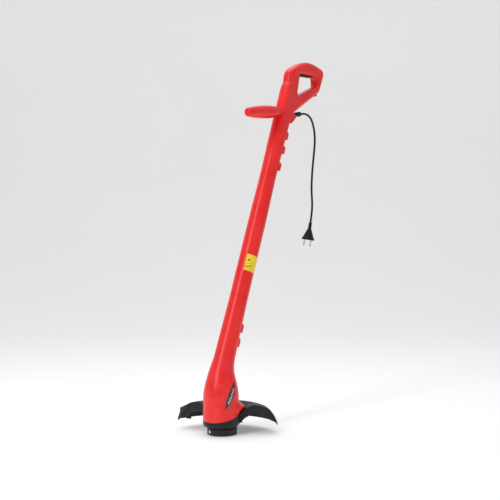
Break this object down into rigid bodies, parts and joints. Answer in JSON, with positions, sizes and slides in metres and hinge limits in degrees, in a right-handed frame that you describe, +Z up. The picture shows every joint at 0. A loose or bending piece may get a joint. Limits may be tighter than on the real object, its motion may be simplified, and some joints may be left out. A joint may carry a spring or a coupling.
{
  "type": "string trimmer",
  "caption": "Corded electric garden string trimmer: closed rear grip with trigger, front handle, slanted tube, upright motor with line head, guard, mains cord and plug.",
  "frame": {"origin": "middle of the hand on the rear grip, over the trigger", "axes": "+Z up along the upright axis of the cutting head, +Y towards the user, +X to the user's left"},
  "size_m": [0.2756, 0.5351, 1.027],
  "materials": {
    "housing_plastic": "glossy moulded red",
    "guard_plastic": "satin moulded black",
    "trigger_plastic": "satin black",
    "hook_plastic": "satin dark",
    "badge_film": "gloss black",
    "label_film": "printed yellow film",
    "head_plastic": "satin moulded black",
    "inner_plastic": "moulded grey",
    "switch_case": "moulded dark grey",
    "screw_steel": "zinc plated",
    "spring_steel": "drawn wire",
    "blade_steel": "blackened sheet",
    "shaft_steel": "ground",
    "core_steel": "stacked laminations",
    "winding_copper": "enamelled copper wire and bars",
    "brush_carbon": "pressed carbon",
    "eyelet_metal": "turned",
    "line_nylon": "drawn nylon line",
    "cord_rubber": "satin black",
    "lead_insulation": "satin",
    "plug_plastic": "moulded dark grey",
    "pin_metal": "nickel plated"
  },
  "bodies": {
    "housing": {"badge": "badge_film", "brush_holders": "inner_plastic", "brush_springs": "spring_steel", "carbon_brushes": "brush_carbon", "cord_clamp": "inner_plastic", "cord_clamp_screws": "screw_steel", "cord_hook": "hook_plastic", "field_coils": "winding_copper", "field_stack": "core_steel", "front_handle": "housing_plastic", "front_handle_bolt": "screw_steel", "guard": "guard_plastic", "guard_screws": "screw_steel", "joint_sleeve": "inner_plastic", "line_cutter": "blade_steel", "line_cutter_screws": "blade_steel", "lower_bearing": "shaft_steel", "lower_motor_bracket": "inner_plastic", "lower_shell_left": "housing_plastic", "lower_shell_right": "housing_plastic", "lower_shell_screws": "screw_steel", "motor_leads": "lead_insulation", "plug_body": "plug_plastic", "plug_pins": "pin_metal", "power_cord": "cord_rubber", "strain_relief": "cord_rubber", "suppressor_capacitor": "switch_case", "switch_body": "switch_case", "trigger_pin": "spring_steel", "trigger_spring": "spring_steel", "tube_label": "label_film", "upper_bearing": "shaft_steel", "upper_motor_bracket": "inner_plastic", "upper_shell_left": "housing_plastic", "upper_shell_right": "housing_plastic", "upper_shell_screws": "screw_steel"},
    "rotor": {"motor_shaft": "shaft_steel", "armature_core": "core_steel", "armature_windings": "winding_copper", "commutator": "winding_copper", "cooling_fan": "inner_plastic", "spool_housing": "head_plastic", "line_eyelets": "eyelet_metal", "drive_nut": "shaft_steel", "spool_cap": "head_plastic", "spool_spring": "spring_steel"},
    "button": {"tap_button": "head_plastic"},
    "spool": {"spool": "inner_plastic", "line_winding": "line_nylon"},
    "trigger": {"trigger": "trigger_plastic"},
    "plunger": {"switch_plunger": "trigger_plastic"}
  },
  "joints": [
    {"name": "motor_spin", "type": "hinge", "parent": "housing", "child": "rotor", "pos_m": [0, -0.4, -0.905], "axis": [0, 0, 1], "continuous": true},
    {"name": "tap_press", "type": "slide", "parent": "rotor", "child": "button", "axis": [0, 0, 1], "range_m": [0, 0.0035], "stiffness_N_per_m": 900, "springref_m": -0.003, "deforming": ["spool_spring"]},
    {"name": "spool_feed", "type": "hinge", "parent": "button", "child": "spool", "pos_m": [0, -0.4, -0.995], "axis": [0, 0, 1], "continuous": true},
    {"name": "trigger_pull", "type": "hinge", "parent": "housing", "child": "trigger", "pos_m": [0, 0.02, -0.005], "axis": [-1, 0, 0], "range_deg": [0, 6], "stiffness_Nm_per_rad": 1, "springref_deg": -8.59, "deforming": ["trigger_spring"]},
    {"name": "plunger_slide", "type": "slide", "parent": "housing", "child": "plunger", "axis": [0, 0, 1], "range_m": [0, 0.0043]}
  ],
  "couplings": [
    {"joint": "plunger_slide", "follows": "trigger_pull", "m_per_rad": 0.04}
  ]
}
